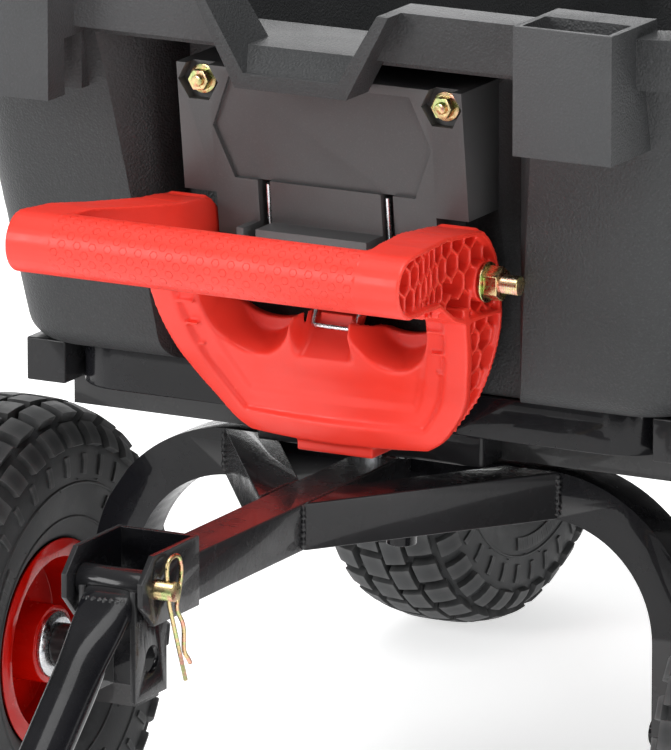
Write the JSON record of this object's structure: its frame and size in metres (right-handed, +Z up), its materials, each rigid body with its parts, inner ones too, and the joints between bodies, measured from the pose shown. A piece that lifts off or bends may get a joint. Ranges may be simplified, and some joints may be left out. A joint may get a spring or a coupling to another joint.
{
  "type": "tow behind dump cart",
  "caption": "Four-wheel garden dump cart with a moulded tub, red dump handle, steerable front axle and a folding drawbar with a tow bracket.",
  "frame": {"origin": "on the ground under the middle of the overall length, with the drawbar resting on the ground", "axes": "+Z up, +Y towards the tub's rear, +X to the right as seen from the front"},
  "size_m": [0.626, 1.746, 0.525],
  "materials": {
    "frame_black": "gloss",
    "zinc_yellow": "satin",
    "zinc_bright": "satin",
    "tub_poly": "matte",
    "panel_poly": "satin",
    "red_poly": "satin",
    "pull_rubber": "matte",
    "rim_red": "gloss",
    "tyre_rubber": "matte",
    "valve_rubber": "matte"
  },
  "bodies": {
    "frame": {"side_rail_left": "frame_black", "side_rail_right": "frame_black", "front_cross_member": "frame_black", "rear_cross_member": "frame_black", "bolster_beam": "frame_black", "kingpin_block": "frame_black", "latch_strike": "frame_black", "kingpin": "zinc_yellow", "kingpin_nut": "zinc_yellow", "thrust_washer": "zinc_bright", "rear_axle_beam": "frame_black", "rear_bridge": "frame_black", "rear_axle_posts": "frame_black", "rear_braces": "frame_black", "rear_axle_left": "frame_black", "rear_axle_right": "frame_black", "rear_axle_nuts": "zinc_bright", "hinge_lugs": "frame_black", "hinge_rod": "zinc_bright", "hinge_collars": "zinc_bright"},
    "tub_body": {"tub": "tub_poly", "handle_panel": "panel_poly", "panel_bolts": "zinc_yellow", "panel_nuts": "zinc_yellow", "pivot_rod": "zinc_yellow", "pivot_nuts": "zinc_yellow", "release_spring": "zinc_bright", "hinge_brackets": "zinc_bright"},
    "dump_handle_body": {"dump_handle": "red_poly"},
    "front_axle": {"axle_arch": "frame_black", "tongue": "frame_black", "axle_braces": "frame_black", "front_axle_left": "frame_black", "front_axle_right": "frame_black", "front_axle_nuts": "zinc_bright", "clevis": "frame_black", "clevis_pin": "zinc_yellow"},
    "drawbar": {"drawbar_sleeve": "frame_black", "drawbar_tube": "frame_black", "tow_bracket": "frame_black", "pull_yoke": "frame_black", "pull_loop": "frame_black", "pull_grip": "pull_rubber"},
    "clip": {"hitch_clip": "zinc_yellow"},
    "wheel_front_left": {"tyre_front_left": "tyre_rubber", "rim_front_left": "rim_red", "bearings_front_left": "zinc_bright", "valve_front_left": "valve_rubber"},
    "wheel_front_right": {"tyre_front_right": "tyre_rubber", "rim_front_right": "rim_red", "bearings_front_right": "zinc_bright", "valve_front_right": "valve_rubber"},
    "wheel_rear_left": {"tyre_rear_left": "tyre_rubber", "rim_rear_left": "rim_red", "bearings_rear_left": "zinc_bright", "valve_rear_left": "valve_rubber"},
    "wheel_rear_right": {"tyre_rear_right": "tyre_rubber", "rim_rear_right": "rim_red", "bearings_rear_right": "zinc_bright", "valve_rear_right": "valve_rubber"}
  },
  "joints": [
    {"name": "tub_dump", "type": "hinge", "parent": "frame", "child": "tub_body", "pos_m": [0, 0.787, 0.2995], "axis": [-1, 0, 0], "range_deg": [0, 75]},
    {"name": "handle_release", "type": "hinge", "parent": "tub_body", "child": "dump_handle_body", "pos_m": [0, 0.0537, 0.3793], "axis": [-1, 0, 0], "range_deg": [0, 20], "stiffness_Nm_per_rad": 3, "springref_deg": -14.32, "deforming": ["release_spring"]},
    {"name": "steering", "type": "hinge", "parent": "frame", "child": "front_axle", "pos_m": [0, 0.137, 0.2645], "axis": [0, 0, 1], "range_deg": [-45, 45]},
    {"name": "drawbar_swing", "type": "hinge", "parent": "front_axle", "child": "drawbar", "pos_m": [0, -0.163, 0.261], "axis": [-1, 0, 0], "range_deg": [0, 95]},
    {"name": "clip_pull", "type": "slide", "parent": "front_axle", "child": "clip", "axis": [0, 0, 1], "range_m": [0, 0.075], "deforming": ["hitch_clip"]},
    {"name": "front_left_spin", "type": "hinge", "parent": "front_axle", "child": "wheel_front_left", "pos_m": [-0.241, 0.137, 0.13], "axis": [1, 0, 0], "continuous": true},
    {"name": "front_right_spin", "type": "hinge", "parent": "front_axle", "child": "wheel_front_right", "pos_m": [0.241, 0.137, 0.13], "axis": [1, 0, 0], "continuous": true},
    {"name": "rear_left_spin", "type": "hinge", "parent": "frame", "child": "wheel_rear_left", "pos_m": [-0.263, 0.716, 0.13], "axis": [1, 0, 0], "continuous": true},
    {"name": "rear_right_spin", "type": "hinge", "parent": "frame", "child": "wheel_rear_right", "pos_m": [0.263, 0.716, 0.13], "axis": [1, 0, 0], "continuous": true}
  ]
}
